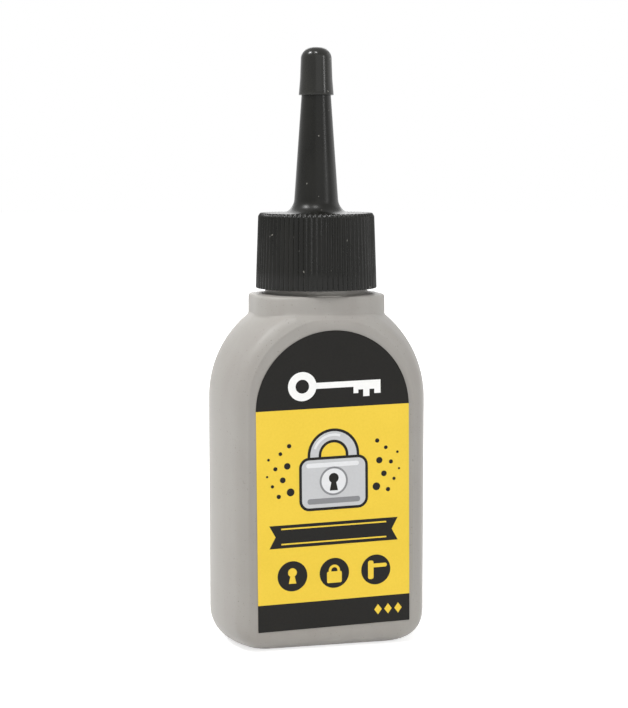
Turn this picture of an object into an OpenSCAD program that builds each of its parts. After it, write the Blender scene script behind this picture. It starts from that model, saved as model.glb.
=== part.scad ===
// Squeeze flask of powdered lock lubricant.
// A flat, arch-shouldered bottle with bulged sides, a moulded neck, a ribbed spout cap that
// screws on over a foam sealing ring, a small tip cap that pulls off the spout,
// a paper label on the front and on the back, and the powder inside.
// The bottle stands on z = 0, its front looks along -Y, and its neck is on the Z axis.

/* [Bottle] */
// Width of the bottle across its front
body_w = 41.6; // [38:0.1:48]
// Depth of the bottle from front to back
body_d = 24; // [23:0.5:30]
// Height at which the straight sides turn into the round shoulders
arch_h = 47.3; // [40:0.1:60]
// Radius of the rounded edge around the front and back panels
edge_r = 3.2; // [2:0.1:5]
// Radius of the bulge of the two narrow sides, seen from above
side_r = 24; // [20:0.5:40]
// Radius of the two bottom corners, seen from the front
foot_r = 7.5; // [6:0.1:10]
// Rounding of the front and back edges of the base
foot_edge_r = 4; // [3:0.1:5]
// Thickness of the moulded wall
wall_t = 1; // [0.6:0.1:1.4]
// Thickness of the floor of the bottle
floor_t = 1.6; // [1.2:0.1:2.4]
// Depth of the hollow under the base
push_up = 0.5; // [0.2:0.1:0.8]
// Width of the flat rim that the bottle stands on
foot_rim = 1.6; // [1:0.1:3]

/* [Collar and neck] */
// Width of the collar block under the neck
collar_w = 25.4; // [24:0.1:28]
// Height of the collar block above the shoulders
collar_h = 3.6; // [3:0.1:6]
// Radius of the upright corners of the collar
collar_corner_r = 8; // [6:0.1:9]
// Rounding of the front and back edges of the shoulders, in front of the collar
shoulder_edge_r = 1.3; // [0.8:0.1:1.4]
// Rounding of the top edge of the collar
collar_edge_r = 0.7; // [0.3:0.1:1]
// Outer diameter of the neck between its threads
neck_d = 17.9; // [17:0.1:18.4]
// Diameter of the bore through the neck
bore_d = 15.2; // [13:0.1:15.6]
// Height of the neck above the collar
neck_h = 13.2; // [12.6:0.1:16]
// Height of the bead at the foot of the neck
bead_h = 1.6; // [1.2:0.1:2]

/* [Thread] */
// Rise of the thread in one turn
thread_pitch = 3.175; // [3:0.025:3.4]
// Height of the thread ridge above the neck
thread_depth = 0.85; // [0.6:0.05:0.95]
// Number of turns of the thread on the neck
neck_turns = 1.5; // [1:0.25:1.75]
// Number of turns of the thread in the cap
cap_turns = 1.25; // [1:0.25:1.5]

/* [Spout cap] */
// Thickness of the cap skirt at its lower edge, over the ribs
skirt_t = 1.65; // [1.5:0.05:2.4]
// Narrowing of the skirt diameter from its lower edge to its top
cap_taper = 1; // [0:0.1:1.2]
// Gap between the collar and the lower edge of the cap
cap_stand_off = 1.1; // [0.6:0.1:1.4]
// Thickness of the top of the cap
cap_top_t = 1.3; // [1:0.1:2]
// Number of grip ribs around the cap
rib_count = 72; // [48:2:80]
// Depth of the grooves between the grip ribs
rib_depth = 0.34; // [0.2:0.02:0.5]
// Height of the spout above the top of the cap
spout_h = 30.3; // [24:0.1:40]
// Diameter of the spout where it leaves the cap
spout_base_d = 8.8; // [7:0.1:10]
// Diameter of the spout at its tip
spout_tip_d = 4.5; // [4:0.1:6]
// Diameter of the powder passage at the foot of the spout
passage_base_d = 6; // [4:0.1:6.4]
// Diameter of the powder passage at the tip
passage_tip_d = 2; // [1.2:0.1:2.6]
// Radius of the fillet between the spout and the cap
spout_fillet_r = 2.8; // [1:0.1:3]

/* [Tip cap] */
// Length of the tip cap
tip_cap_l = 9.1; // [7:0.1:12]
// Outer diameter of the tip cap at its open rim
tip_rim_d = 6.7; // [6.6:0.1:8]
// Outer diameter of the tip cap below its rounded end
tip_end_d = 5.9; // [5.8:0.1:7]
// Thickness of the closed end of the tip cap
tip_end_t = 1.2; // [0.8:0.1:2]
// Radius of the rounded end of the tip cap
tip_round_r = 1.8; // [0.8:0.1:2]

/* [Sealing ring] */
// Thickness of the foam sealing ring under the cap top
ring_t = 1; // [0.6:0.1:1.4]
// Diameter of the hole in the sealing ring
ring_hole_d = 6.4; // [6.4:0.1:8]

/* [Labels] */
// Thickness of the paper of the labels
label_t = 0.12; // [0.1:0.01:0.2]
// Bare margin between a label and the edge of the flat panel at its sides
label_side_margin = 0.65; // [0.3:0.05:3]
// Bare margin between the label and the lower edge of the flat panel
label_foot_margin = 0.5; // [0.3:0.1:4]
// Bare margin between the top of the label and the top of the shoulders
label_top_margin = 2.6; // [1.5:0.1:4]
// Angle at which the front label was stuck on askew
label_angle = 1; // [0:0.1:1]

/* [Powder] */
// Height of the powder above the surface that the bottle stands on
fill_h = 49; // [20:0.5:52]

/* [Hidden] */
$fn = 96;

// clearances
overrun = 0.5;
powder_gap = 0.05;
bore_gap = 0.25;
ring_gap = 0.45;
thread_radial_gap = 0.3;
thread_seat_gap = 0.1;
tip_gap = 0.04;

// bottle, derived
half_w = body_w / 2;
half_d = body_d / 2;
shoulder_h = arch_h + sqrt(pow(half_w, 2) - pow(collar_w / 2, 2));
collar_d = body_d - 2 * shoulder_edge_r;
collar_top = shoulder_h + collar_h;
neck_top = collar_top + neck_h;
neck_r = neck_d / 2;
thread_r = neck_r + thread_depth;
lip_chamfer = wall_t / 4;

// thread ridges, derived; their widths are measured along the axis
root_share = 0.47;
crest_share = 0.22;
cap_root_share = 0.41;
cap_crest_share = 0.19;
thread_start_share = 0.46;
run_out_turns = 0.12;
cap_lead_turns = 0.2;
step_count = 40;
ridge_root_w = thread_pitch * root_share;
ridge_crest_w = thread_pitch * crest_share;
cap_ridge_root_w = thread_pitch * cap_root_share;
cap_ridge_crest_w = thread_pitch * cap_crest_share;
thread_low = collar_top + neck_h * thread_start_share;
ridge_sink = wall_t / 5;

// cap, derived
cap_low = collar_top + cap_stand_off;
cap_inner_top = neck_top + ring_t;
cap_top = cap_inner_top + cap_top_t;
cap_bore_r = thread_r + bore_gap;
cap_d = 2 * (cap_bore_r + skirt_t);
cap_ridge_r = neck_r + thread_radial_gap;

// how far the ridge in the cap hangs below the ridge that it bears on,
// from their widths where the two overlap, at the inner and the outer end
cap_ridge_h = cap_bore_r - cap_ridge_r;
inner_flanks = between(ridge_root_w, ridge_crest_w, thread_radial_gap / thread_depth)
    + cap_ridge_crest_w;
outer_flanks = ridge_crest_w
    + between(cap_ridge_root_w, cap_ridge_crest_w, bore_gap / cap_ridge_h);
cap_ridge_drop = max(inner_flanks, outer_flanks) / 2 + thread_seat_gap;

// cap rim and spout, derived
cap_edge = 0.6;
rib_ledge = 0.08;
cap_rim_r = (cap_d - cap_taper) / 2 - rib_depth - rib_ledge;
spout_top = cap_top + spout_h;
spout_fall = (spout_base_d - spout_tip_d) / 2 / spout_h;

// tip cap, derived
tip_cap_top = spout_top + tip_end_t;
tip_cap_low = tip_cap_top - tip_cap_l;

// labels, derived
label_half_w = corner_x(half_w, body_d, edge_r, side_r) - label_side_margin;
label_low = foot_edge_r + label_foot_margin;
label_top = shoulder_h - label_top_margin;
label_arch_h = label_top - label_half_w;

function between(a, b, share) = a + (b - a) * share;
function corner_x(w, d, r, side) = w - side + sqrt(pow(side - r, 2) - pow(d / 2 - r, 2));
function spout_r(z) = spout_tip_d / 2 + (spout_top - z) * spout_fall;

// A rectangle with round corners, centred on the origin
module round_rect(w, d, r) {
    for (sx = [-1, 1], sy = [-1, 1])
        translate([sx * (w / 2 - r), sy * (d / 2 - r)]) circle(r);
    square([w - 2 * r, d], center = true);
    square([w, d - 2 * r], center = true);
}

// The body seen from above, of half width w and depth d: a flat front and back,
// sides that bulge with radius side, and corners of radius r that run into both
module bulged_rect(w, d, r, side) {
    arc_x = w - side;
    x = corner_x(w, d, r, side);
    y = d / 2 - r;
    square([2 * x, d], center = true);
    for (sx = [-1, 1], sy = [-1, 1]) translate([sx * x, sy * y]) circle(r);
    for (sx = [-1, 1]) intersection() {
        translate([sx * arc_x, 0]) circle(side);
        polygon([[sx * arc_x, 0], [sx * (2 * x - arc_x), 2 * y], [sx * (2 * x - arc_x), -2 * y]]);
    }
}

// A disc that stands on edge, of radius w and thickness d, with the right half
// of the outline that it is given as its section
module wheel(w, d) rotate([90, 0, 0]) rotate_extrude() intersection() {
    children();
    translate([0, -d / 2]) square([w, d]);
}

// The body of the bottle, drawn in from its outer face by inset:
// an arch on straight sides, on a foot with round corners
module flask(inset, low) {
    w = half_w - inset;
    d = body_d - 2 * inset;
    r = edge_r - inset;
    side = side_r - inset;
    corner = foot_r - inset;
    foot_edge = foot_edge_r - inset;
    foot_x = half_w - foot_r;
    translate([0, 0, arch_h]) wheel(w, d) bulged_rect(w, d, r, side);
    translate([0, 0, low + corner])
        linear_extrude(arch_h - low - corner) bulged_rect(w, d, r, side);
    intersection() {
        translate([0, 0, low]) linear_extrude(corner) bulged_rect(w, d, r, side);
        union() {
            for (sx = [-1, 1]) translate([sx * foot_x, 0, low + corner])
                wheel(corner, d) round_rect(2 * corner, d, foot_edge);
            translate([-foot_x, 0, low + corner]) rotate([90, 0, 90])
                linear_extrude(2 * foot_x) round_rect(d, 2 * corner, foot_edge);
        }
    }
}

// Upright half section of a block: width w on both sides of its middle, top edges rounded by r
module domed_section(w, low, top, r) {
    translate([-w / 2, low]) square([w, top - r - low]);
    translate([r - w / 2, low]) square([w - 2 * r, top - low]);
    for (side = [-1, 1]) translate([side * (w / 2 - r), top - r]) circle(r);
}

// The collar block, drawn in by inset, from height low to height top:
// four round corners and the straight stretches between them
module collar(inset, low, top) {
    w = collar_w - 2 * inset;
    d = collar_d - 2 * inset;
    corner = collar_corner_r - inset;
    for (sx = [-1, 1], sy = [-1, 1])
        translate([sx * (w / 2 - corner), sy * (d / 2 - corner), 0])
            rotate_extrude() intersection() {
                domed_section(2 * corner, low, top, collar_edge_r);
                translate([0, low]) square([corner, top - low]);
            }
    rotate([90, 0, 0]) translate([0, 0, corner - d / 2])
        linear_extrude(d - 2 * corner) domed_section(w, low, top, collar_edge_r);
    rotate([90, 0, 90]) translate([0, 0, corner - w / 2])
        linear_extrude(w - 2 * corner) domed_section(d, low, top, collar_edge_r);
}

// One helical ridge. It stands from radius root_r to crest_r, which is the
// smaller of the two for a ridge inside a bore, and starts at height low after
// turning by start turns. Its ends run out into the wall.
module ridge(root_r, crest_r, root_w, crest_w, low, start, turns) {
    steps = ceil(turns * step_count);
    out = root_r < crest_r ? 1 : -1;
    foot = root_r - out * ridge_sink;
    function share(i) = i / steps;
    function rise(i) = min(1, share(i) * turns / run_out_turns,
                           (1 - share(i)) * turns / run_out_turns);
    function crest(i) = between(root_r - out * ridge_sink / 2, crest_r, rise(i));
    function spot(r, i, dz) =
        let (turn = start + share(i) * turns)
        [r * cos(360 * turn), r * sin(360 * turn), low + turn * thread_pitch + dz];
    points = [for (i = [0:steps]) each [
        spot(foot, i, -root_w / 2), spot(crest(i), i, -crest_w / 2),
        spot(crest(i), i, crest_w / 2), spot(foot, i, root_w / 2)]];
    side = [for (i = [0:steps - 1], k = [0:3])
        let (a = 4 * i + k, b = 4 * i + (k + 1) % 4)
        each (out > 0 ? [[a, b, a + 4], [b, b + 4, a + 4]]
                      : [[a, a + 4, b], [b, a + 4, b + 4]])];
    last = 4 * steps;
    ends = out > 0
        ? [[0, 2, 1], [0, 3, 2], [last, last + 1, last + 2], [last, last + 2, last + 3]]
        : [[0, 1, 2], [0, 2, 3], [last, last + 2, last + 1], [last, last + 3, last + 2]];
    polyhedron(points, concat(side, ends), convexity = 4);
}

// Outline of the cap skirt, with a flat-topped rib and a groove in turn
module ribbed_circle(r) {
    step = 360 / rib_count;
    rib_share = 0.5;
    groove_share = 0.22;
    flank_share = (1 - rib_share - groove_share) / 2;
    polygon([for (i = [0:rib_count - 1]) each [
        for (part = [[0, 0], [rib_share, 0],
                     [rib_share + flank_share, 1], [1 - flank_share, 1]])
        let (a = (i + part[0]) * step, rr = r - part[1] * rib_depth)
        [rr * cos(a), rr * sin(a)]]]);
}

// The flask with its arch trimmed flat at height top, its front and back edges rounded there
module trimmed_flask(inset, low, top) {
    intersection() {
        flask(inset, low);
        translate([-body_w, 0, 0]) rotate([90, 0, 90]) linear_extrude(2 * body_w)
            domed_section(body_d - 2 * inset, -overrun, top, shoulder_edge_r);
    }
}

// Blow-moulded bottle: hollow body, collar, beaded neck and its thread
module bottle() color([0.65, 0.635, 0.615]) {
    difference() {
        union() {
            trimmed_flask(0, 0, shoulder_h);
            collar(0, arch_h, collar_top);
            translate([0, 0, collar_top - wall_t]) cylinder(h = bead_h + wall_t, r = thread_r);
            translate([0, 0, collar_top - wall_t])
                cylinder(h = neck_h + wall_t - lip_chamfer, r = neck_r);
            translate([0, 0, neck_top - lip_chamfer])
                cylinder(h = lip_chamfer, r1 = neck_r, r2 = neck_r - lip_chamfer);
            ridge(neck_r, thread_r, ridge_root_w, ridge_crest_w, thread_low, 0, neck_turns);
        }
        trimmed_flask(wall_t, floor_t, shoulder_h - wall_t);
        collar(wall_t, arch_h, collar_top - wall_t);
        translate([0, 0, arch_h]) cylinder(h = neck_top - arch_h + overrun, r = bore_d / 2);
        translate([0, 0, -overrun]) linear_extrude(push_up + overrun)
            round_rect(2 * (half_w - foot_r - foot_rim), body_d - 2 * foot_edge_r - 2 * foot_rim,
                       foot_edge_r - foot_rim);
    }
}

// Screw cap and spout in one moulding
module spout_cap() color([0.17, 0.165, 0.15]) {
    difference() {
        union() {
            translate([0, 0, cap_low])
                linear_extrude(cap_top - cap_low - cap_edge, scale = 1 - cap_taper / cap_d)
                    ribbed_circle(cap_d / 2);
            translate([0, 0, cap_top - 2 * cap_edge]) cylinder(h = cap_edge, r = cap_rim_r);
            translate([0, 0, cap_top - cap_edge])
                cylinder(h = cap_edge, r1 = cap_rim_r, r2 = cap_rim_r - cap_edge);
            spout();
        }
        translate([0, 0, cap_low - overrun])
            cylinder(h = cap_inner_top - cap_low + overrun, r = cap_bore_r);
        translate([0, 0, cap_inner_top - overrun])
            cylinder(h = spout_top - cap_inner_top + 2 * overrun,
                     r1 = passage_base_d / 2, r2 = passage_tip_d / 2);
    }
    ridge(cap_bore_r, cap_ridge_r, cap_ridge_root_w, cap_ridge_crest_w,
          thread_low - cap_ridge_drop, -cap_lead_turns, cap_turns);
}

// The tapered spout with the fillet at its foot
module spout() {
    foot_r = spout_base_d / 2 + spout_fillet_r;
    rotate_extrude() difference() {
        polygon([[0, cap_top - cap_top_t / 2], [foot_r, cap_top - cap_top_t / 2],
                 [foot_r, cap_top], [spout_r(cap_top + spout_fillet_r), cap_top + spout_fillet_r],
                 [spout_tip_d / 2, spout_top], [0, spout_top]]);
        translate([foot_r, cap_top + spout_fillet_r]) circle(spout_fillet_r);
    }
}

// Foam ring that seals the cap on the rim of the neck
module cap_liner() color([0.93, 0.93, 0.9])
    translate([0, 0, neck_top]) difference() {
        cylinder(h = ring_t, r = cap_bore_r - ring_gap);
        translate([0, 0, -overrun]) cylinder(h = ring_t + 2 * overrun, r = ring_hole_d / 2);
    }

// Small cap that is pushed over the tip of the spout
module tip_cap() color([0.15, 0.145, 0.135])
    rotate_extrude() difference() {
        union() {
            polygon([[0, tip_cap_low], [tip_rim_d / 2, tip_cap_low],
                     [tip_end_d / 2, tip_cap_top - tip_round_r], [0, tip_cap_top - tip_round_r]]);
            translate([0, tip_cap_top - tip_round_r]) square([tip_end_d / 2 - tip_round_r, tip_round_r]);
            intersection() {
                translate([tip_end_d / 2 - tip_round_r, tip_cap_top - tip_round_r])
                    circle(tip_round_r);
                translate([0, tip_cap_top - tip_round_r]) square(tip_end_d);
            }
        }
        polygon([[0, tip_cap_low - overrun],
                 [spout_r(tip_cap_low - overrun) + tip_gap, tip_cap_low - overrun],
                 [spout_tip_d / 2 + tip_gap, spout_top], [0, spout_top]]);
    }

// Arch-topped label, flat on a panel
module label_shape() {
    translate([-label_half_w, label_low]) square([2 * label_half_w, label_arch_h - label_low]);
    intersection() {
        translate([0, label_arch_h]) circle(label_half_w);
        translate([-label_half_w, label_arch_h]) square([2 * label_half_w, label_half_w]);
    }
}

module label(skew) {
    middle = (label_low + label_top) / 2;
    translate([0, -half_d, middle]) rotate([90, 0, 0]) linear_extrude(label_t)
        rotate(skew) translate([0, -middle]) label_shape();
}

module front_label() color([0.94, 0.8, 0.25]) label(label_angle);

module back_label() color([0.94, 0.8, 0.25]) rotate(180) label(0);

// Powder settled in the bottle
module graphite_powder() color([0.27, 0.27, 0.28])
    intersection() {
        flask(wall_t + powder_gap, floor_t);
        translate([-body_w, -body_d, 0]) cube([2 * body_w, 2 * body_d, fill_h]);
    }

bottle();
spout_cap();
cap_liner();
tip_cap();
front_label();
back_label();
graphite_powder();
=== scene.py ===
import math
import bpy
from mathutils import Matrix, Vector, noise


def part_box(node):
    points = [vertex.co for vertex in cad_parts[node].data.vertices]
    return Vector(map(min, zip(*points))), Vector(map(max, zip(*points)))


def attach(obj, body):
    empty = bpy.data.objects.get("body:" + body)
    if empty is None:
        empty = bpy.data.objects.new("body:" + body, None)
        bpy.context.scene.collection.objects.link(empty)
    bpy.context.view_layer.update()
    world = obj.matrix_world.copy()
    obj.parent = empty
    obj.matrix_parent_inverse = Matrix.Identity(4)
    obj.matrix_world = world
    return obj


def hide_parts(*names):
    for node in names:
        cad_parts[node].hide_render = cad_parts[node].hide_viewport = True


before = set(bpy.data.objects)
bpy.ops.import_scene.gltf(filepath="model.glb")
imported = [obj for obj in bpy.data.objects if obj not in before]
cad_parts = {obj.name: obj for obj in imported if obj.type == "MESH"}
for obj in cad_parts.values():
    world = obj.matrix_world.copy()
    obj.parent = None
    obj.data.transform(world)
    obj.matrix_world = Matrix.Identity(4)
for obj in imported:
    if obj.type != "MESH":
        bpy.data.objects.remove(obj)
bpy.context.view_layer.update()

# The view
# The photograph was taken from a little left of the front and a little above
# the cap, from about 35 cm away.
MM = 0.001
PHOTO_HEIGHT_PX = 708
FOCAL_LENGTH_PX = 1813
SENSOR_MM = 36
CAMERA_DISTANCE = 350 * MM
CAMERA_HEIGHT = 92.6 * MM
CAMERA_LEFT = 0.42 * MM
CAMERA_TURN = math.radians(-14.4)
CAMERA_PITCH = math.radians(6.05)
CAMERA_NEAR = 10 * MM

camera_data = bpy.data.cameras.new("camera")
camera_data.sensor_width = SENSOR_MM
camera_data.lens = FOCAL_LENGTH_PX / PHOTO_HEIGHT_PX * SENSOR_MM
camera_data.clip_start = CAMERA_NEAR
camera = bpy.data.objects.new("camera", camera_data)
bpy.context.scene.collection.objects.link(camera)
camera.rotation_euler = (math.pi / 2 - CAMERA_PITCH, 0, CAMERA_TURN)
camera.location = (
    CAMERA_DISTANCE * math.sin(CAMERA_TURN) - CAMERA_LEFT * math.cos(CAMERA_TURN),
    -CAMERA_DISTANCE * math.cos(CAMERA_TURN) - CAMERA_LEFT * math.sin(CAMERA_TURN),
    CAMERA_HEIGHT)
bpy.context.scene.camera = camera
bpy.context.scene.view_settings.view_transform = "Standard"


# The table and the light
# A white sweep under soft studio light. The camera and shiny surfaces see the
# sweep as white, and it keeps the soft shadow of the bottle.
class Wire:
    """One socket of a material's nodes. On it + and * add Math nodes."""

    def __init__(self, tree, out=None):
        self.tree = tree
        self.out = out

    def node(self, kind, settings=None, inputs=None, output=0):
        """Adds one node with its settings, then its inputs, and gives one of its outputs."""
        made = self.tree.nodes.new("ShaderNode" + kind)
        for name, value in (settings or {}).items():
            setattr(made, name, value)
        for name, value in (inputs or {}).items():
            if isinstance(value, Wire):
                self.tree.links.new(value.out, made.inputs[name])
            else:
                made.inputs[name].default_value = value
        return Wire(self.tree, made.outputs[output] if len(made.outputs) else None)

    def math(self, operation, *values):
        return self.node("Math", {"operation": operation}, dict(enumerate(values)))

    def __add__(self, other):
        return self.math("ADD", self, other)

    __radd__ = __add__

    def __mul__(self, other):
        return self.math("MULTIPLY", self, other)

    __rmul__ = __mul__

    def place(self, scale=(1, 1, 1)):
        """The piece's own coordinates in metres, stretched by scale."""
        coords = self.node("TexCoord", output="Object")
        return self.node("Mapping", {}, {"Vector": coords, "Scale": scale})

    def noise(self, scale, detail=2.0, stretch=(1, 1, 1)):
        """Cloudy noise with scale clouds a metre."""
        return self.node("TexNoise", {}, {"Vector": self.place(stretch), "Scale": scale,
                                          "Detail": detail})

    def ramp(self, low, high):
        """0 below low, 1 above high, smooth between."""
        return self.node("MapRange", {"interpolation_type": "SMOOTHSTEP"},
                         {"Value": self, "From Min": low, "From Max": high})

    def mix(self, first, second):
        """Colour that runs from first at 0 to second at 1 of this value."""
        return self.node("Mix", {"data_type": "RGBA"}, {0: self, 6: first, 7: second}, 2)

    def bump(self, distance, strength=1.0):
        """Normals of a surface that rises by distance where the value is 1."""
        return self.node("Bump", {}, {"Height": self, "Distance": distance,
                                      "Strength": strength})


WHITE = (1, 1, 1, 1)


def grey(level):
    return (level, level, level, 1)


def new_finish(name):
    """An empty material and the wire to draw its nodes with."""
    finish = bpy.data.materials.new(name)
    finish.use_nodes = True
    finish.node_tree.nodes.clear()
    return finish, Wire(finish.node_tree)


SKY_LIGHT = 0.4
FLOOR_RADIUS = 3.0
FLOOR_POINTS = 96
FLOOR_GREY = 0.82
FLOOR_GRAIN = 0.02
FLOOR_GLOW = 0.68

world = bpy.data.worlds.new("studio")
world.use_nodes = True
world.node_tree.nodes.clear()
sky = Wire(world.node_tree)


def seen_directly(wire):
    """1 for what the camera, a reflection or a clear body sees, 0 for light that falls
    on things."""
    rays = [wire.node("LightPath", output=kind)
            for kind in ("Is Camera Ray", "Is Glossy Ray", "Is Transmission Ray")]
    return rays[0].math("MAXIMUM", rays[0], rays[1].math("MAXIMUM", rays[1], rays[2]))


sky_strength = seen_directly(sky) * (1 - SKY_LIGHT) + SKY_LIGHT
sky.node("OutputWorld", {}, {"Surface": sky.node(
    "Background", {}, {"Color": WHITE, "Strength": sky_strength})})
bpy.context.scene.world = world

bpy.ops.object.select_all(action="DESELECT")
bpy.ops.mesh.primitive_circle_add(vertices=FLOOR_POINTS, radius=FLOOR_RADIUS, fill_type="NGON")
floor = bpy.context.object
floor.name = "floor"
floor_finish, wire = new_finish("white_sweep")
grain = wire.noise(40, 4)
lit = wire.node("BsdfDiffuse", {}, {
    "Color": grain.mix(grey(FLOOR_GREY), grey(FLOOR_GREY + FLOOR_GRAIN))})
glow = wire.node("Emission", {}, {"Color": WHITE, "Strength": FLOOR_GLOW})
wire.node("OutputMaterial", {}, {"Surface": wire.node("MixShader", {}, {
    "Fac": seen_directly(wire), 1: lit, 2: wire.node("AddShader", {}, {0: lit, 1: glow})})})
floor.data.materials.append(floor_finish)

LAMP_AIM = 60 * MM
LAMP_DISTANCE = 1.0


def soft_box(name, turn, rise, size, power):
    """A lamp that aims at the bottle, turn degrees right of the front and rise degrees up."""
    lamp = bpy.data.lights.new(name, "AREA")
    lamp.shape = "RECTANGLE"
    lamp.size, lamp.size_y = size
    lamp.energy = power
    box = bpy.data.objects.new(name, lamp)
    bpy.context.scene.collection.objects.link(box)
    turn, rise = math.radians(turn), math.radians(rise)
    box.rotation_euler = (math.pi / 2 - rise, 0, turn)
    box.location = (LAMP_DISTANCE * math.cos(rise) * math.sin(turn),
                    -LAMP_DISTANCE * math.cos(rise) * math.cos(turn),
                    LAMP_AIM + LAMP_DISTANCE * math.sin(rise))


# Two small high lamps make the highlights, a strip makes the streak on the right of
# the black parts, and the large weak ones fill the sides, the front and the back.
soft_box("left_box", -83, 53, (0.24, 0.24), 6.3)
soft_box("front_box", -20, 62, (0.2, 0.18), 3.2)
soft_box("right_strip", 45, 14, (0.08, 0.5), 1.5)
soft_box("right_box", 100, 12, (0.8, 0.8), 1.0)
soft_box("fill_box", 5, 20, (0.8, 0.6), 0.8)
soft_box("back_box", 168, 28, (0.8, 0.6), 2.4)


# The bottle
# Blow-moulded in soft grey plastic: flat panels with a faint raised rim, bulged
# narrow sides, arched shoulders trimmed under the collar, and the beaded,
# threaded neck in one piece.
bottle_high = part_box("bottle")[1]
HALF_W = bottle_high[0] / MM
HALF_D = bottle_high[1] / MM
NECK_TOP = bottle_high[2] / MM
ARCH_H = 47.3
EDGE_R = 3.2
SIDE_R = 24.0
FOOT_R = 5.8
FOOT_EDGE_R = 4.0
WALL = 1.0
FLOOR_T = 1.6
PUSH_UP = 0.5
FOOT_RIM = 1.6
COLLAR_HALF_W = 12.7
COLLAR_H = 3.6
COLLAR_CORNER_R = 8.0
SHOULDER_R = 1.3
SHOULDER_RISE = 2.2
NECK_R = 8.95
BEAD_R = 9.8
BORE_R = 7.6
COLLAR_HALF_D = HALF_D - SHOULDER_R
SHOULDER_H = ARCH_H + math.sqrt(HALF_W ** 2 - COLLAR_HALF_W ** 2)
COLLAR_TOP = SHOULDER_H + COLLAR_H
FOOT_X = HALF_W - FOOT_R
FOOT_Y = HALF_D - FOOT_EDGE_R
SIDE_X = HALF_W - SIDE_R
EDGE_Y = HALF_D - EDGE_R
EDGE_X = SIDE_X + math.sqrt((SIDE_R - EDGE_R) ** 2 - EDGE_Y ** 2)
EDGE_TURN = math.degrees(math.atan2(EDGE_Y, EDGE_X - SIDE_X))
HAIR = 0.001
SIDE_STEPS, CORNER_STEPS, FRONT_STEPS = 8, 10, 10
QUARTER_STEPS = SIDE_STEPS + CORNER_STEPS + FRONT_STEPS


def arc(middle, radius, start, end, steps):
    """Points on an arc, with its angles in degrees."""
    angles = [math.radians(start + (end - start) * i / steps) for i in range(steps + 1)]
    return [(middle[0] + radius * math.cos(a), middle[1] + radius * math.sin(a)) for a in angles]


def with_front(outline):
    """Adds the flat stretch from the end of an outline to the middle of the panel."""
    x, y = outline[-1]
    return outline + [(x * (1 - i / FRONT_STEPS), y) for i in range(1, FRONT_STEPS + 1)]


def collar_x(y, inset):
    """Half width of the collar block at y, or 0 in front of it."""
    r = COLLAR_CORNER_R - inset
    over = max(0.0, y - COLLAR_HALF_D + COLLAR_CORNER_R)
    if over > r + HAIR:
        return 0.0
    return COLLAR_HALF_W - COLLAR_CORNER_R + math.sqrt(max(0.0, r * r - over * over))


def body_quarter(height, inset=0.0, low=0.0, trim=None):
    """A quarter of the body at a height: the bulged side, the round edge and half of the
    panel, sliced by the arch above and by the round foot, which stands on low, below."""
    side_r, r, foot_edge_r = SIDE_R - inset, EDGE_R - inset, FOOT_EDGE_R - inset
    end = 90 if trim is None else math.degrees(math.asin((trim - EDGE_Y) / r))
    outline = (arc((SIDE_X, 0), side_r, 0, EDGE_TURN, SIDE_STEPS)[:-1]
               + arc((EDGE_X, EDGE_Y), r, EDGE_TURN, end, CORNER_STEPS))
    off = height - ARCH_H
    if off > 0:
        outline = [(max(math.sqrt(max(0.0, x * x - off * off)), collar_x(y, inset)), y)
                   for x, y in outline]
    foot_r = FOOT_R - inset
    drop = low + foot_r - height
    if drop > 0:
        dip = max(0.0, low + foot_edge_r - height)
        squeeze = (FOOT_Y + math.sqrt(foot_edge_r ** 2 - dip ** 2)) / (HALF_D - inset)
        draw_in = foot_r - math.sqrt(foot_r ** 2 - drop ** 2)
        outline = [(x - draw_in, y * squeeze) for x, y in outline]
    return with_front(outline)


def block_quarter(half_w, half_d, r):
    """A quarter of a rectangle with round corners."""
    side = [(half_w, (half_d - r) * i / SIDE_STEPS) for i in range(SIDE_STEPS)]
    return with_front(side + arc((half_w - r, half_d - r), r, 0, 90, CORNER_STEPS))


def round_quarter(radius):
    """A quarter of a circle, with as many points as the other outlines."""
    return arc((0, 0), radius, 0, 90, QUARTER_STEPS)


def ring(points, height, scale=1.0):
    """The whole outline at a height, from a quarter of it, in metres."""
    there = points[:-1]
    back = points[:0:-1]
    loop = (there + [(-x, y) for x, y in back] + [(-x, -y) for x, y in there]
            + [(x, -y) for x, y in back])
    return [(x * scale * MM, y * scale * MM, height * MM) for x, y in loop]


def skin(name, rings):
    """A closed mesh over a row of rings with the same number of points."""
    count = len(rings[0])
    points = [point for loop in rings for point in loop]
    faces = [tuple(range(count))[::-1], tuple(range(len(points) - count, len(points)))]
    for row in range(len(rings) - 1):
        for i in range(count):
            a, b = row * count + i, row * count + (i + 1) % count
            faces.append((a, b, b + count, a + count))
    mesh = bpy.data.meshes.new(name)
    mesh.from_pydata(points, [], faces)
    piece = bpy.data.objects.new(name, mesh)
    bpy.context.scene.collection.objects.link(piece)
    return piece


def work_on(piece):
    """Makes a piece the only one selected."""
    bpy.ops.object.select_all(action="DESELECT")
    piece.select_set(True)
    bpy.context.view_layer.objects.active = piece


def outward(piece, merge=1e-7):
    """Merges double points, turns the faces outwards and smooths them."""
    work_on(piece)
    bpy.ops.object.mode_set(mode="EDIT")
    bpy.ops.mesh.select_all(action="SELECT")
    bpy.ops.mesh.remove_doubles(threshold=merge)
    bpy.ops.mesh.normals_make_consistent(inside=False)
    bpy.ops.object.mode_set(mode="OBJECT")
    bpy.ops.object.shade_smooth()


# The hollow under the base. For each ring: its share of the depth, and its scale.
RECESS_RINGS = [(1, 0.3), (1, 0.8), (1, 0.95), (0.85, 1), (0.2, 1), (0, 1.03)]
recess = block_quarter(FOOT_X - FOOT_RIM, FOOT_Y - FOOT_RIM, FOOT_EDGE_R - FOOT_RIM)
rings = [ring(recess, PUSH_UP * share, scale) for share, scale in RECESS_RINGS]

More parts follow.
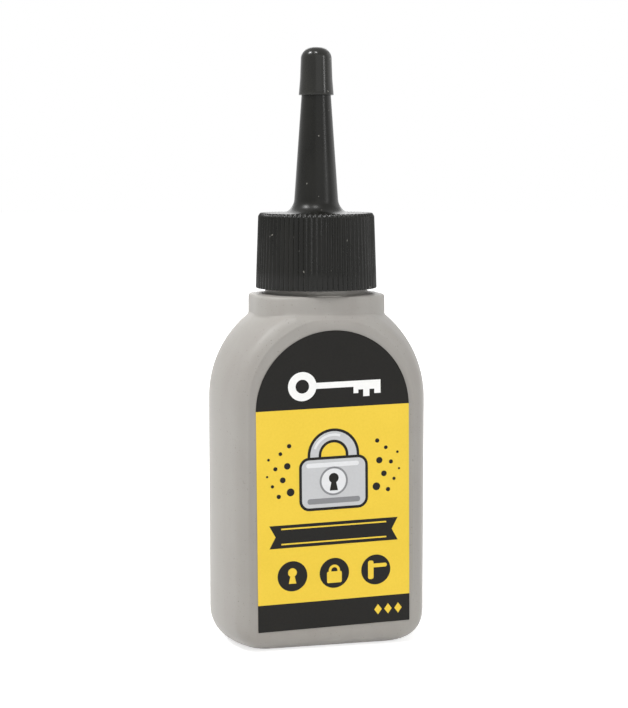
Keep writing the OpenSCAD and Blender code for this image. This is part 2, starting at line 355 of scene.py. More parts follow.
# The flat rim that the bottle stands on, the round foot, whose corners are drawn in
# along the sides, the straight sides, the arch, and the turn towards the collar.
SOLE_AT = 0.03
SOLE_SCALES = (0.93, 0.99)
ROUND_STEPS = 12
SIDE_HEIGHTS = (9, 12, 18, 24, 30, 36, 41, 45, ARCH_H)
SHOULDER_ANGLES = (14, 28, 42, 56)
rings += [ring(body_quarter(SOLE_AT), 0, scale) for scale in SOLE_SCALES]
for step in range(1, ROUND_STEPS + 1):
    height = FOOT_R * (1 - math.cos(math.pi / 2 * step / ROUND_STEPS))
    rings.append(ring(body_quarter(height), height))
for height in SIDE_HEIGHTS:
    rings.append(ring(body_quarter(height), height))
trim_start = SHOULDER_H - SHOULDER_RISE
arch_turn = math.asin((trim_start - ARCH_H) / HALF_W)
for step in range(1, ROUND_STEPS + 1):
    height = ARCH_H + HALF_W * math.sin(arch_turn * step / ROUND_STEPS)
    rings.append(ring(body_quarter(height), height))
for angle in SHOULDER_ANGLES:
    a = math.radians(angle)
    height = trim_start + SHOULDER_RISE * math.sin(a)
    rings.append(ring(body_quarter(height, trim=COLLAR_HALF_D + SHOULDER_R * math.cos(a)), height))

# The collar rises out of the shoulders in a small fillet, and its front and back
# lean in towards the bead. For each ring: its share of the height, how far it
# leans in, and how much of the fillet is left there. Its ends lean in at the top.
COLLAR_RINGS = [(0, 0, 1), (0.025, 0, 0.6), (0.065, 0, 0.33), (0.13, 0, 0.14), (0.24, 0.02, 0.04),
                (0.38, 0.05, 0), (0.55, 0.1, 0), (0.72, 0.18, 0), (0.86, 0.28, 0), (0.94, 0.37, 0),
                (0.98, 0.47, 0), (1, 0.62, 0)]
END_LEAN, END_LEAN_FROM = 0.35, 0.88
SHOULDER_LIP, SHOULDER_GAP = 0.45, 0.02
shoulder_top = body_quarter(SHOULDER_H - SHOULDER_GAP, trim=COLLAR_HALF_D + SHOULDER_LIP)[:-FRONT_STEPS]
for share, lean, fillet in COLLAR_RINGS:
    end_lean = END_LEAN * (max(0.0, share - END_LEAN_FROM) / (1 - END_LEAN_FROM)) ** 2
    outline = []
    for x, y in shoulder_top:
        depth_share = y / shoulder_top[-1][1]
        block_x = collar_x(depth_share * COLLAR_HALF_D, 0) - end_lean
        block_y = depth_share * (COLLAR_HALF_D - lean)
        outline.append((block_x + (x - block_x) * fillet, block_y + (y - block_y) * fillet))
    rings.append(ring(with_front(outline), SHOULDER_H + COLLAR_H * share))

# Radius and height, up the bead and the outside of the neck and down its bore.
NECK_PROFILE = [
    (BEAD_R + 0.6, COLLAR_TOP + 0.1), (BEAD_R + 0.25, COLLAR_TOP + 0.25),
    (BEAD_R + 0.05, COLLAR_TOP + 0.5), (BEAD_R, COLLAR_TOP + 1.2),
    (BEAD_R - 0.1, COLLAR_TOP + 1.48), (BEAD_R - 0.3, COLLAR_TOP + 1.6), (NECK_R + 0.2, COLLAR_TOP + 1.62),
    (NECK_R + 0.03, COLLAR_TOP + 1.8), (NECK_R, COLLAR_TOP + 2.4), (NECK_R, COLLAR_TOP + 7),
    (NECK_R, NECK_TOP - 0.5), (NECK_R - 0.05, NECK_TOP - 0.2), (NECK_R - 0.2, NECK_TOP - 0.04),
    (NECK_R - 0.4, NECK_TOP), (BORE_R + 0.4, NECK_TOP), (BORE_R + 0.15, NECK_TOP - 0.04),
    (BORE_R, NECK_TOP - 0.25), (BORE_R, NECK_TOP - 4), (BORE_R, NECK_TOP - 10),
    (BORE_R, COLLAR_TOP - WALL + 0.3), (BORE_R + 0.2, COLLAR_TOP - WALL)]
for radius, height in NECK_PROFILE:
    rings.append(ring(round_quarter(radius), height))

# The inside, from the collar down to the floor. For the collar: height and scale.
INNER_COLLAR = [(COLLAR_TOP - WALL, 0.96), (COLLAR_TOP - WALL - 0.5, 1), (SHOULDER_H - WALL + 0.2, 1)]
INNER_HEIGHTS = (61.4, 60, 58, 56, 53, 50, 44, 36, 26, 16, 11, 9.2)
INNER_STEPS, INNER_LAST = 6, 0.2
INNER_FLOOR_AT, INNER_FLOOR_SCALE = 0.1, 0.4
inner = block_quarter(COLLAR_HALF_W - WALL, COLLAR_HALF_D - WALL, COLLAR_CORNER_R - WALL)
rings += [ring(inner, height, scale) for height, scale in INNER_COLLAR]
for height in INNER_HEIGHTS:
    rings.append(ring(body_quarter(height, WALL, FLOOR_T), height))
for step in range(INNER_STEPS, -1, -1):
    turn = math.pi / 2 * (step + INNER_LAST) / (INNER_STEPS + INNER_LAST)
    height = FLOOR_T + (FOOT_R - WALL) * (1 - math.cos(turn))
    rings.append(ring(body_quarter(height, WALL, FLOOR_T), height))
rings.append(ring(body_quarter(FLOOR_T + INNER_FLOOR_AT, WALL, FLOOR_T), FLOOR_T, INNER_FLOOR_SCALE))
bottle = skin("bottle_moulding", rings)
work_on(bottle)
rounding = bottle.modifiers.new("rounding", "SUBSURF")
rounding.levels = rounding.render_levels = 1
bpy.ops.object.modifier_apply(modifier=rounding.name)

# Each panel has a faint raised rim just inside its round edge.
RIM_AT = EDGE_X + 0.45
RIM_HALF_W = 0.32
RIM_PROUD = 0.08
RIM_LOW = 9.0
RIM_FADE = 4.0
RIM_BAND = 1.3
PANEL_BAND = 0.4
FLAT_ENOUGH = 0.7


def off_rim(place):
    """How far a point of a panel lies from the line of the raised rim, in mm."""
    return math.hypot(place.x, max(0.0, place.z - ARCH_H)) - RIM_AT


def on_panel(place):
    """Whether a point lies on the part of a panel that the rim runs round."""
    return abs(place.y) > HALF_D - PANEL_BAND and place.z > RIM_LOW - RIM_FADE


work_on(bottle)
bpy.ops.object.mode_set(mode="EDIT")
bpy.ops.mesh.select_all(action="DESELECT")
bpy.ops.mesh.select_mode(type="FACE")
bpy.ops.object.mode_set(mode="OBJECT")
for face in bottle.data.polygons:
    place = face.center / MM
    face.select = (on_panel(place) and abs(off_rim(place)) < RIM_BAND
                   and abs(face.normal.y) > FLAT_ENOUGH)
bpy.ops.object.mode_set(mode="EDIT")
bpy.ops.mesh.subdivide(number_cuts=2)
bpy.ops.mesh.select_mode(type="VERT")
bpy.ops.object.mode_set(mode="OBJECT")
for vertex in bottle.data.vertices:
    place = vertex.co / MM
    if on_panel(place):
        fade = min(1.0, (place.z - RIM_LOW + RIM_FADE) / RIM_FADE)
        proud = RIM_PROUD * fade * math.exp(-(off_rim(place) / RIM_HALF_W) ** 2)
        vertex.co.y += math.copysign(proud * MM, place.y)

# The thread is a ridge that climbs the neck for a turn and a half.
PITCH = 3.175
THREAD_TURNS = 1.5
THREAD_STEPS = 40
THREAD_RUN_OUT = 0.12
THREAD_SINK = 0.06
THREAD_LOW_SHARE = 0.46
THREAD_LOW = COLLAR_TOP + (NECK_TOP - COLLAR_TOP) * THREAD_LOW_SHARE
RIDGE = [(-0.1, -0.75), (0.25, -0.6), (0.72, -0.39), (0.85, -0.25), (0.85, 0.25),
         (0.72, 0.39), (0.25, 0.6), (-0.1, 0.75)]


def helix(name, wall_r, section, low, start, turns, way=1):
    """A ridge that winds up a wall, outwards for way 1 and inwards for -1. Its section
    is given out of the wall and up, and it sinks into the wall at both ends."""
    steps = int(turns * THREAD_STEPS)
    loops = []
    for i in range(steps + 1):
        turn = start + turns * i / steps
        rise = min(1.0, turns * min(i, steps - i) / steps / THREAD_RUN_OUT)
        a = 2 * math.pi * turn
        loop = []
        for out, up in section:
            r = wall_r + way * (min(out, 0) - THREAD_SINK * (1 - rise) + max(out, 0) * rise)
            loop.append((r * math.cos(a) * MM, r * math.sin(a) * MM, (low + turn * PITCH + up) * MM))
        loops.append(loop)
    return skin(name, loops)


def join(first, *others):
    """Makes others part of first."""
    work_on(first)
    for other in others:
        other.select_set(True)
    bpy.ops.object.join()


thread = helix("neck_thread", NECK_R, RIDGE, THREAD_LOW, 0, THREAD_TURNS)
join(bottle, thread)
outward(bottle)


def colour(red, green, blue):
    """Scene colour for a colour given in 0 to 255 as a screen shows it."""
    def linear(level):
        share = level / 255
        return share / 12.92 if share <= 0.04045 else ((share + 0.055) / 1.055) ** 2.4
    return (linear(red), linear(green), linear(blue), 1.0)


def surface(wire, **inputs):
    """The finished shader of a material, from its inputs by name with _ for a space."""
    named = {name.replace("_", " "): value for name, value in inputs.items()}
    shader = wire.node("BsdfPrincipled", {}, named)
    wire.node("OutputMaterial", {}, {"Surface": shader})


BOTTLE_TONES = (colour(153, 149, 144), colour(159, 156, 151))
BOTTLE_SPECK = colour(139, 136, 131)
# Faint clouds and upright streaks in the grey, fine specks, and a soft waviness.
bottle_finish, wire = new_finish("satin_grey_plastic")
clouds = wire.noise(90, 4)
streaks = wire.noise(60, 3, (6, 6, 0.7))
specks = wire.noise(2600, 2)
tone = (clouds * 0.6 + streaks * 0.4).ramp(0.3, 0.7)
speckled = specks.ramp(0.66, 0.74).mix(tone.mix(*BOTTLE_TONES), BOTTLE_SPECK)
waviness = wire.noise(130, 2) * 0.9 + wire.noise(1500, 3) * 0.1
surface(wire, Base_Color=speckled, Roughness=tone * 0.08 + 0.42, IOR=1.5,
        Specular_IOR_Level=0.35, Subsurface_Weight=0.3, Subsurface_Radius=(1, 0.95, 0.9),
        Subsurface_Scale=1.2 * MM, Normal=waviness.bump(0.06 * MM, 0.6))
bottle.data.materials.append(bottle_finish)
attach(bottle, "flask")
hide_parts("bottle")


# The spout cap
# One black injection moulding: a skirt with fine grip ribs that screws on the
# neck, and a long tapered spout that rises from a fillet on its top.
cap_low, cap_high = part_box("spout_cap")
ring_low, ring_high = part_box("cap_liner")
CAP_LOW = cap_low[2] / MM
SPOUT_TOP = cap_high[2] / MM
CAP_R = cap_high[0] / MM
CAP_TAPER = 0.5
CAP_BORE_R = BEAD_R + 0.25
CAP_CEILING = ring_high[2] / MM
CAP_PLATE_T = 1.3
CAP_TOP = CAP_CEILING + CAP_PLATE_T
CAP_EDGE_R = 0.65
CAP_INNER_EDGE = 0.25
CAP_CORNER = 0.3
SPOUT_BASE_R, SPOUT_TIP_R = 4.4, 2.25
SPOUT_END_R = 0.3
SPOUT_HEIGHTS = (110, 105, 100, 95, 90, 86.5)
PASSAGE_BASE_R, PASSAGE_TIP_R = 3.0, 1.0
PASSAGE_BEND = (2.0, 97)
FILLET_R = 2.8
RIB_COUNT = 72
RIB_DEPTH = 0.28
RIB_PART = (0, 0.15, 0.5, 0.85, 1, 0.85, 0.5, 0.15)


SPIN_MERGE = 1e-6


def turned(name, outline, steps):
    """A solid turned from its outline of radius and height."""
    mesh = bpy.data.meshes.new(name)
    edges = [(i, (i + 1) % len(outline)) for i in range(len(outline))]
    if outline[0][0] == 0:
        edges.pop()
    mesh.from_pydata([(r * MM, 0, z * MM) for r, z in outline], edges, [])
    piece = bpy.data.objects.new(name, mesh)
    bpy.context.scene.collection.objects.link(piece)
    work_on(piece)
    bpy.ops.object.mode_set(mode="EDIT")
    bpy.ops.mesh.select_all(action="SELECT")
    bpy.ops.mesh.spin(steps=steps, angle=2 * math.pi, center=(0, 0, 0), axis=(0, 0, 1))
    bpy.ops.object.mode_set(mode="OBJECT")
    outward(piece, SPIN_MERGE)
    return piece


def spout_r(height):
    """Outer radius of the spout at a height."""
    return SPOUT_TIP_R + (SPOUT_TOP - height) * (SPOUT_BASE_R - SPOUT_TIP_R) / (SPOUT_TOP - CAP_TOP)


# From the hole in the tip down the spout and its fillet to the top of the cap, which
# falls a little towards its rounded edge of two small arcs, then down the skirt, up
# its inside, and back through the passage.
fillet_foot = SPOUT_BASE_R + FILLET_R
fillet_top = CAP_TOP + FILLET_R
FILLET_END, FILLET_STEPS = 262, 12
rim_r = CAP_R - CAP_TAPER
edge_r, edge_z = rim_r - CAP_EDGE_R, CAP_TOP - CAP_EDGE_R
TOP_FALL = [(fillet_foot + 0.4, CAP_TOP - 0.01), (8.7, CAP_TOP - 0.03), (rim_r - 1.2, CAP_TOP - 0.04)]
SKIRT_SHARES = (0.75, 0.5, 0.25, 0.01)
EDGE_ARC_R = 0.35
EDGE_UPPER = (rim_r - 0.58, CAP_TOP - EDGE_ARC_R)
EDGE_LOWER = (rim_r - EDGE_ARC_R, CAP_TOP - 0.74)
cap_outline = [(PASSAGE_TIP_R, SPOUT_TOP - 0.1), (PASSAGE_TIP_R + 0.1, SPOUT_TOP)]
cap_outline += arc((SPOUT_TIP_R - SPOUT_END_R, SPOUT_TOP - SPOUT_END_R), SPOUT_END_R, 90, 5, 4)
cap_outline += [(spout_r(height), height) for height in SPOUT_HEIGHTS]
cap_outline += arc((fillet_foot, fillet_top), fillet_foot - spout_r(fillet_top),
                   180, FILLET_END, FILLET_STEPS) + TOP_FALL
cap_outline += arc(EDGE_UPPER, EDGE_ARC_R, 90, 34, 3) + arc(EDGE_LOWER, EDGE_ARC_R, 28, 4, 3)
cap_outline += [(CAP_R - CAP_TAPER * share, CAP_LOW + (edge_z - CAP_LOW) * share)
                for share in SKIRT_SHARES]
cap_outline += [(CAP_R - 0.1, CAP_LOW), (CAP_BORE_R + CAP_INNER_EDGE, CAP_LOW),
                (CAP_BORE_R, CAP_LOW + CAP_INNER_EDGE), (CAP_BORE_R, CAP_LOW + 6),
                (CAP_BORE_R, CAP_CEILING - CAP_CORNER), (CAP_BORE_R - CAP_CORNER, CAP_CEILING),
                (PASSAGE_BASE_R + 0.1, CAP_CEILING), (PASSAGE_BASE_R - 0.05, CAP_CEILING + 0.2),
                PASSAGE_BEND]
spout_cap = turned("spout_cap_moulding", cap_outline, RIB_COUNT * len(RIB_PART))

# The grooves run up over the rounded edge of the top, so that the ribs end in teeth
# there. The top and the inside of the skirt stay as they are.
NEAR = 0.01
SKIRT_INSIDE_R = CAP_BORE_R + 0.5
for vertex in spout_cap.data.vertices:
    r = math.hypot(vertex.co.x, vertex.co.y) / MM
    height = vertex.co.z / MM
    if r < edge_r - NEAR or (r < SKIRT_INSIDE_R and height < edge_z - NEAR):
        continue
    step = round(math.atan2(vertex.co.y, vertex.co.x) / (2 * math.pi) * RIB_COUNT * len(RIB_PART))
    cut = RIB_DEPTH * RIB_PART[step % len(RIB_PART)]
    out, up = r - edge_r, height - edge_z
    if up > 0:
        new_r, new_z = edge_r + out * (1 - cut / CAP_EDGE_R), edge_z + up * (1 - cut / CAP_EDGE_R)
    else:
        new_r, new_z = r - cut, height
    vertex.co = (vertex.co.x * new_r / r, vertex.co.y * new_r / r, new_z * MM)

# The cap's own thread lies under the thread of the neck.
CAP_RIDGE = [(-0.1, -0.65), (0.3, -0.52), (0.7, -0.36), (0.8, -0.25), (0.8, 0.25), (0.7, 0.36),
             (0.3, 0.52), (-0.1, 0.65)]
CAP_THREAD_DROP = 1.008
CAP_THREAD_START, CAP_THREAD_TURNS = -0.2, 1.25
SHARP_EDGE = math.radians(38)
cap_thread = helix("cap_thread", CAP_BORE_R, CAP_RIDGE, THREAD_LOW - CAP_THREAD_DROP,
                   CAP_THREAD_START, CAP_THREAD_TURNS, -1)
outward(cap_thread)
join(spout_cap, cap_thread)
work_on(spout_cap)
bpy.ops.object.shade_smooth_by_angle(angle=SHARP_EDGE)


DUST = colour(120, 118, 112)


def black_plastic(name, shade, roughness, gloss):
    """Moulded black plastic with faint swirls, dust specks and a fine orange peel."""
    finish, wire = new_finish(name)
    swirl = wire.noise(220, 4, (1, 1, 0.35))
    dust = wire.noise(1100, 1)
    tone = swirl.ramp(0.3, 0.7)
    dark = tone.mix(colour(*[c - 3 for c in shade]), colour(*[c + 4 for c in shade]))
    dusty = dust.ramp(0.76, 0.8).mix(dark, DUST)
    peel = wire.noise(900, 3) * 0.7 + wire.noise(4000, 2) * 0.3
    surface(wire, Base_Color=dusty, Roughness=tone * 0.1 + roughness, IOR=1.5,
            Specular_IOR_Level=gloss, Normal=peel.bump(0.02 * MM, 0.35))
    return finish


spout_cap.data.materials.append(black_plastic("black_cap_plastic", (19, 19, 16), 0.24, 0.22))
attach(spout_cap, "cap")
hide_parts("spout_cap")


# The tip cap
# A thimble of the same black plastic, pushed over the end of the spout. It
# flares a little towards its open rim.
tip_low, tip_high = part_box("tip_cap")
TIP_LOW = tip_low[2] / MM
TIP_TOP = tip_high[2] / MM
TIP_RIM_R = tip_high[0] / MM
TIP_END_R = 2.95
TIP_ROUND_R = 2.2
TIP_FIT = 0.05
TIP_STEPS = 96
tip_outline = [(0, TIP_TOP + 0.02), (0.6, TIP_TOP + 0.01)]
tip_outline += arc((TIP_END_R - TIP_ROUND_R, TIP_TOP - TIP_ROUND_R), TIP_ROUND_R, 90, 3, 10)
tip_outline += [(TIP_END_R + 0.07, TIP_LOW + 5), (TIP_END_R + 0.15, TIP_LOW + 3),
                (TIP_RIM_R - 0.08, TIP_LOW + 1), (TIP_RIM_R - 0.01, TIP_LOW + 0.12),
                (TIP_RIM_R - 0.04, TIP_LOW + 0.02), (TIP_RIM_R - 0.12, TIP_LOW),
                (spout_r(TIP_LOW) + 0.12, TIP_LOW), (spout_r(TIP_LOW) + TIP_FIT, TIP_LOW + 0.08),
                (spout_r(TIP_LOW + 4) + TIP_FIT, TIP_LOW + 4), (SPOUT_TIP_R + TIP_FIT, SPOUT_TOP - 0.1),
                (SPOUT_TIP_R - 0.1, SPOUT_TOP + 0.01), (0, SPOUT_TOP + 0.01)]
tip_cap = turned("tip_cap_moulding", tip_outline, TIP_STEPS)
bpy.ops.object.shade_smooth_by_angle(angle=SHARP_EDGE)
tip_cap.data.materials.append(black_plastic("black_tip_plastic", (25, 25, 21), 0.18, 0.34))
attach(tip_cap, "tip")
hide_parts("tip_cap")


# The sealing ring
# A ring punched out of white closed-cell foam. It lies under the top of the cap,
# squeezed on the rim of the neck, and rises with the cap.
RING_R = ring_high[0] / MM
RING_LOW = ring_low[2] / MM
RING_HOLE_R = 3.2
RING_EDGE_R = 0.15
RING_STEPS = 120
foam_outline = []
for r, height, start in ((RING_R - RING_EDGE_R, CAP_CEILING - RING_EDGE_R, 90),
                         (RING_R - RING_EDGE_R, RING_LOW + RING_EDGE_R, 0),
                         (RING_HOLE_R + RING_EDGE_R, RING_LOW + RING_EDGE_R, -90),
                         (RING_HOLE_R + RING_EDGE_R, CAP_CEILING - RING_EDGE_R, -180)):
    foam_outline += arc((r, height), RING_EDGE_R, start, start - 90, 3)
foam_ring = turned("foam_ring", foam_outline, RING_STEPS)

# Closed cells, each about a fifth of a millimetre across.
FOAM_TONES = (colour(205, 204, 198), colour(238, 237, 232))
CELLS_PER_M = 4500
foam_finish, wire = new_finish("white_foam")
cells = wire.node("TexVoronoi", {}, {"Vector": wire.place(), "Scale": CELLS_PER_M})
cell_tone = cells.ramp(0.1, 0.7)
surface(wire, Base_Color=cell_tone.mix(*FOAM_TONES),
        Roughness=cell_tone * 0.1 + 0.75, Specular_IOR_Level=0.2, Normal=cells.bump(0.05 * MM, 0.6))
foam_ring.data.materials.append(foam_finish)
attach(foam_ring, "seal")
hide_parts("cap_liner")


# The powder
# About 25 g of loose dark grey graphite, filled in through the neck. It has settled
# against the wall, and its top is a little heaped and lumpy.
POWDER_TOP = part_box("graphite_powder")[1][2] / MM
POWDER_INSET = WALL + 0.06
POWDER_LOW = FLOOR_T + 0.02
POWDER_STEPS = 8
POWDER_HEIGHTS = (12, 20, 28, 36, 43, POWDER_TOP - 0.5)
HEAP_START = POWDER_TOP - 0.4
HEAP_SHARES = (1, 0.985, 0.9, 0.78, 0.64, 0.5, 0.36, 0.22, 0.1)
HEAP_H = 0.9
LUMP_H = 0.35
LUMPS_PER_M = 420
rings = [ring(body_quarter(POWDER_LOW + 0.1, POWDER_INSET, POWDER_LOW), POWDER_LOW, share)
         for share in (0.3, 0.8, 0.97)]
for step in range(1, POWDER_STEPS + 1):
    turn = math.pi / 2 * step / POWDER_STEPS
    height = POWDER_LOW + (FOOT_R - POWDER_INSET) * (1 - math.cos(turn))
    rings.append(ring(body_quarter(height, POWDER_INSET, POWDER_LOW), height))
for height in POWDER_HEIGHTS:
    rings.append(ring(body_quarter(height, POWDER_INSET), height))


def lumpy(x, y, share):
    """How far the top of the powder stands up at a point of its ring, in mm."""
    return HEAP_H * (1 - share ** 2) + LUMP_H * noise.noise((x * LUMPS_PER_M, y * LUMPS_PER_M, 1))


for share in HEAP_SHARES:
    loop = ring(body_quarter(HEAP_START, POWDER_INSET), HEAP_START, share)
    rings.append([(x, y, z + lumpy(x, y, share) * MM) for x, y, z in loop])
powder = skin("graphite_powder_fill", rings)
outward(powder)

# Grains of about a tenth of a millimetre, a few of which glint.
POWDER_TONES = (colour(58, 58, 60), colour(84, 84, 87))
POWDER_GLINT = colour(165, 165, 168)
powder_finish, wire = new_finish("graphite_powder")
grains = wire.noise(9000, 3)
glints = wire.noise(22000, 1)
shade = grains.ramp(0.3, 0.7)
surface(wire, Base_Color=glints.ramp(0.68, 0.74).mix(shade.mix(*POWDER_TONES), POWDER_GLINT),
        Metallic=0.35, Roughness=shade * 0.15 + 0.55,
        Normal=(grains * 0.6 + glints * 0.4).bump(0.12 * MM, 0.8))
powder.data.materials.append(powder_finish)
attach(powder, "flask")
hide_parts("graphite_powder")


# The front label
# A die-cut film with an arched top, printed black, yellow and black. It is
# stuck on the flat front panel a little askew.
FILM_T = 0.12
LABEL_HALF_W = EDGE_X - 0.75
LABEL_LOW = FOOT_EDGE_R + 0.5
LABEL_TOP = SHOULDER_H - 2.6
LABEL_ARCH = LABEL_TOP - LABEL_HALF_W
LABEL_POINTS = 192
LABEL_MIDDLE = (LABEL_LOW + LABEL_TOP) / 2
LABEL_TILT = math.radians(0.5)
LABEL_SKEW = math.radians(0.9)
LABEL_SHIFT = 0.3
YELLOW_LOW = 9.7
YELLOW_TOP = 46.6
INK_T = 0.01
FRONT, BACK = -1, 1


def printed_film(name, shade):
    """Satin printed film with a faint print grain and a soft sheen."""
    finish, wire = new_finish(name)
    fibres = wire.noise(2400, 3)
    cloud = wire.noise(70, 3)
    tone = (fibres * 0.5 + cloud * 0.5).ramp(0.32, 0.68)
    low = tuple(max(0, c - 3) for c in shade)
    high = tuple(min(255, c + 2) for c in shade)
    surface(wire, Base_Color=tone.mix(colour(*low), colour(*high)), Roughness=tone * 0.08 + 0.4,
            Specular_IOR_Level=0.15, Normal=fibres.bump(0.006 * MM, 0.4))
    return finish


PRINT_COLOURS = {"yellow": (237, 203, 70), "black": (27, 26, 24), "white": (244, 244, 242),
                 "silver": (197, 198, 200), "pale": (226, 227, 229), "steel": (136, 137, 140)}
print_finishes = {tone: printed_film(tone + "_print", shade) for tone, shade in PRINT_COLOURS.items()}


def pick(piece, test):
    """In edit mode, selects the points that pass a test, and what lies between them."""
    bpy.ops.object.mode_set(mode="OBJECT")
    mesh = piece.data
    for vertex in mesh.vertices:
        vertex.select = test(vertex.co / MM)
    for part in list(mesh.edges) + list(mesh.polygons):
        part.select = all(mesh.vertices[i].select for i in part.vertices)
    bpy.ops.object.mode_set(mode="EDIT")


def stick_on(piece, side, askew):
    """Turns a piece made for a square front label onto its panel, askew where askew is 1."""
    along, up = math.cos(askew * LABEL_TILT), math.sin(askew * LABEL_TILT)
    for vertex in piece.data.vertices:
        u = vertex.co.x
        w = vertex.co.z - LABEL_MIDDLE * MM + u * math.tan(askew * LABEL_SKEW)
        vertex.co.x = -side * (u * along - w * up + askew * LABEL_SHIFT * MM)
        vertex.co.z = u * up + w * along + LABEL_MIDDLE * MM
        vertex.co.y *= -side
    outward(piece)
    bpy.ops.object.shade_flat()


def label_film(name, side, askew):
    """The film of a label, black above and below a yellow field."""
    bpy.ops.object.select_all(action="DESELECT")
    bpy.ops.mesh.primitive_circle_add(
        vertices=LABEL_POINTS, radius=LABEL_HALF_W * MM, fill_type="NGON",
        location=(0, -HALF_D * MM, LABEL_ARCH * MM), rotation=(math.pi / 2, 0, 0))
    bpy.ops.object.transform_apply(location=True, rotation=True, scale=True)
    film = bpy.context.object
    film.name = name
    bpy.ops.object.mode_set(mode="EDIT")
    bpy.ops.mesh.select_all(action="SELECT")
    bpy.ops.mesh.bisect(plane_co=(0, 0, LABEL_ARCH * MM), plane_no=(0, 0, 1), clear_inner=True)
    pick(film, lambda place: place.z < LABEL_ARCH + NEAR)
    bpy.ops.mesh.extrude_edges_move(
        TRANSFORM_OT_translate={"value": (0, 0, (LABEL_LOW - LABEL_ARCH) * MM)})
    for height in (YELLOW_LOW, YELLOW_TOP):
        bpy.ops.mesh.select_all(action="SELECT")
        bpy.ops.mesh.bisect(plane_co=(0, 0, height * MM), plane_no=(0, 0, 1))
    bpy.ops.mesh.select_all(action="SELECT")
    bpy.ops.mesh.extrude_region_move(TRANSFORM_OT_translate={"value": (0, -FILM_T * MM, 0)})
    bpy.ops.object.mode_set(mode="OBJECT")
    for tone in ("yellow", "black"):
        film.data.materials.append(print_finishes[tone])
    for face in film.data.polygons:
        face.material_index = 0 if YELLOW_LOW < face.center.z / MM < YELLOW_TOP else 1
    stick_on(film, side, askew)
    return film


# The shapes of the print are drawn flat: u is mm right of the middle and w is mm up.
def disc(u, w, r):
    """A round dot."""
    return arc((u, w), r, 0, 360, 48)[:-1]


def bar(u, w, width, height, r=0.0):
    """A bar with its middle at u, w and its corners rounded by r."""
    half_w, half_h = width / 2 - r, height / 2 - r
    corners = ((1, 1, 0), (-1, 1, 90), (-1, -1, 180), (1, -1, 270))
    if not r:
        return [(u + sx * half_w, w + sy * half_h) for sx, sy, start in corners]
    return [point for sx, sy, start in corners
            for point in arc((u + sx * half_w, w + sy * half_h), r, start, start + 90, 6)]


def shackle(u, w, r, width, leg):
    """The bow of a padlock: a half ring on two legs."""
    outer = arc((u, w), r + width / 2, 0, 180, 24)
    inner = arc((u, w), r - width / 2, 180, 0, 24)
    foot = w - leg
    return ([(outer[0][0], foot)] + outer + [(outer[-1][0], foot), (inner[0][0], foot)]
            + inner + [(inner[-1][0], foot)])


def keyhole(u, w, r):
    """A round keyhole with a slot that widens downwards."""
    return arc((u, w), r, -60, 240, 30) + [(u - r * 0.85, w - r * 2.5), (u + r * 0.85, w - r * 2.5)]


def key(u, w, size):
    """A flat key that lies with its bow on the left, size mm long."""
    unit = size / 19
    bow = arc((u - 6.6 * unit, w), 2.9 * unit, 12, 348, 40)
    blade = [(9.5, -0.6), (9.5, -2.1), (8.2, -2.1), (8.2, -1.2), (7.2, -1.2), (7.2, -2.6), (5.9, -2.6),
             (5.9, -1.2), (4.9, -1.2), (4.9, -1.9), (3.9, -1.9), (3.9, -0.6)]
    return (bow + [(u + x * unit, w + y * unit) for x, y in blade[::-1]]
            + [(u + 9.5 * unit, w + 0.6 * unit)])


def padlock(u, w, size):
    """A padlock, size mm wide, from its black outlines up to its keyhole."""
    unit = size / 13
    bow_w = w + 4.6 * unit
    shapes = []
    for tone, layer, grow in (("black", 1, 0.55), ("silver", 2, 0.0)):
        shapes += [(tone, layer, shackle(u, bow_w, 3.9 * unit, (1.7 + grow * 2) * unit, 2.4 * unit)),
                   (tone, layer + 2, bar(u, w - unit, (13 + grow * 2) * unit, (9.6 + grow * 2) * unit,
                                         (1.5 + grow) * unit))]
    shine = arc((u, bow_w), 4.3 * unit, 70, 160, 16) + arc((u, bow_w), 3.8 * unit, 160, 70, 16)
    return shapes + [("pale", 3, shine),
                     ("pale", 5, bar(u - 0.2 * unit, w + 2.7 * unit, 10.8 * unit, 0.9 * unit, 0.45 * unit)),
                     ("steel", 5, bar(u, w - 4.5 * unit, 10.8 * unit, 1.1 * unit, 0.5 * unit)),
                     ("steel", 5, disc(u, w - 0.6 * unit, 2.9 * unit)),
                     ("pale", 6, disc(u, w - 0.6 * unit, 2.5 * unit)),
                     ("black", 7, keyhole(u, w, unit))]


def badge(u, w, r, symbol):
    """A black disc with a yellow symbol on it."""
    return [("black", 1, disc(u, w, r))] + [("yellow", 2 + i, part) for i, part in enumerate(symbol)]


def print_on(name, shapes, side, askew):
    """The ink of a label: each shape is a tone, its layer and its outline."""
    points, faces, tones = [], [], []
    for tone, layer, outline in shapes:
        first, count = len(points), len(outline)
        for proud in (0, layer * INK_T):
            points += [(u * MM, -(HALF_D + FILM_T + proud) * MM, w * MM) for u, w in outline]
        faces += [tuple(range(first, first + count)), tuple(range(first + count, first + 2 * count))]
        faces += [(first + i, first + (i + 1) % count, first + count + (i + 1) % count, first + count + i)
                  for i in range(count)]
        tones += [list(PRINT_COLOURS).index(tone)] * (count + 2)
    mesh = bpy.data.meshes.new(name)
    mesh.from_pydata(points, [], faces)
    ink = bpy.data.objects.new(name, mesh)
    bpy.context.scene.collection.objects.link(ink)
    for finish in print_finishes.values():
        mesh.materials.append(finish)
    for face, tone in zip(mesh.polygons, tones):
        face.material_index = tone
    stick_on(ink, side, askew)
    return ink


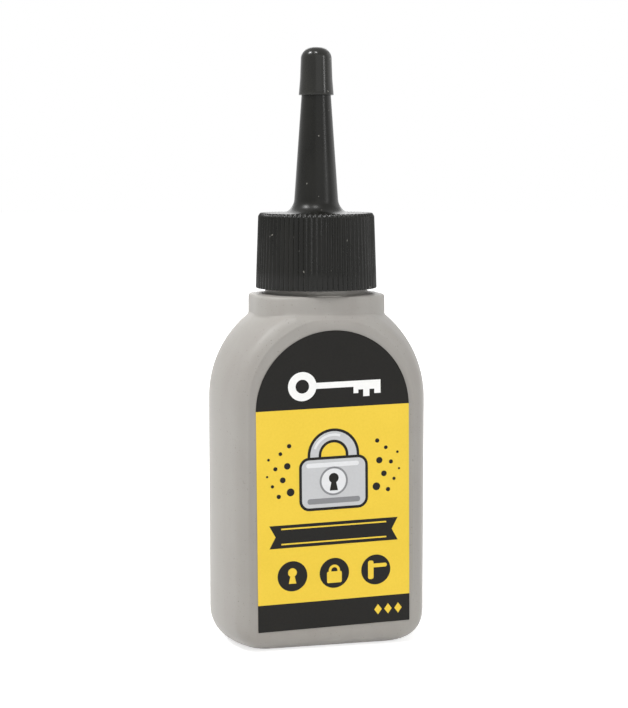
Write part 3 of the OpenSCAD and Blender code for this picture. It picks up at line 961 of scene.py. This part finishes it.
# A white key on the arch, a padlock between puffs of powder and a ribbon with two
# yellow lines on the yellow field, three badges, and three diamonds on the band.
PUFF_DOTS = [(8.4, 31.0, 0.75), (9.9, 33.4, 0.55), (9.0, 36.0, 0.62), (11.3, 35.6, 0.4),
             (10.7, 30.3, 0.42), (11.9, 32.3, 0.32), (10.3, 38.4, 0.36), (12.6, 37.4, 0.26),
             (8.6, 39.8, 0.42), (12.9, 34.2, 0.22)]
front_shapes = [("white", 1, key(0.3, 50.9, 18)), ("black", 2, disc(-5.95, 50.9, 1.3))]
front_shapes += [("black", 1, disc(way * u, w, r)) for way in (-1, 1) for u, w, r in PUFF_DOTS]
front_shapes += padlock(0, 33.2, 12.4)
front_shapes += [("black", 1, [(-12.6, 20.4), (-11.4, 22.6), (-12.6, 24.8), (12.6, 24.8),
                               (11.4, 22.6), (12.6, 20.4)])]
front_shapes += [("yellow", 2, bar(0, 22.6 + way * 1.45, 20.6, 0.28)) for way in (-1, 1)]
front_shapes += badge(-8.2, 14.9, 2.9, [keyhole(-8.2, 15.6, 0.85)])
front_shapes += badge(0, 14.9, 2.9, [bar(0, 14.1, 2.9, 2.2, 0.3), shackle(0, 15.4, 0.85, 0.5, 0.5)])
front_shapes += badge(8.2, 14.9, 2.9, [bar(7.2, 14.9, 1.1, 3.6, 0.4), bar(8.9, 15.7, 3.0, 0.75, 0.37)])
front_shapes += [("yellow", 1, [(u - 0.75, 7.1), (u, 6.1), (u + 0.75, 7.1), (u, 8.1)])
                 for u in (8.6, 10.6, 12.6)]
front_film = label_film("front_label_film", FRONT, 1)
front_ink = print_on("front_label_print", front_shapes, FRONT, 1)
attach(front_film, "flask")
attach(front_ink, "flask")
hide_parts("front_label")


# The back label
# The same die-cut film with plainer print, a small padlock, badges and rules,
# stuck square on the flat back panel.
back_shapes = [("white", 1, keyhole(0, 53.4, 1.7))]
back_shapes += [("black", 1, bar(0, w, 22, 0.3)) for w in (42.6, 26.2, 13.4)]
back_shapes += padlock(0, 34, 8.6)
back_shapes += badge(-7.6, 19.8, 3.4, [keyhole(-7.6, 20.6, 1.0)])
back_shapes += badge(0, 19.8, 3.4, [bar(0, 18.9, 3.4, 2.6, 0.4), shackle(0, 20.4, 1.0, 0.6, 0.6)])
back_shapes += badge(7.6, 19.8, 3.4, [bar(6.5, 19.8, 1.3, 4.2, 0.5), bar(8.5, 20.7, 3.5, 0.9, 0.44)])
back_film = label_film("back_label_film", BACK, 0)
back_ink = print_on("back_label_print", back_shapes, BACK, 0)
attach(back_film, "flask")
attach(back_ink, "flask")
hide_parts("back_label")
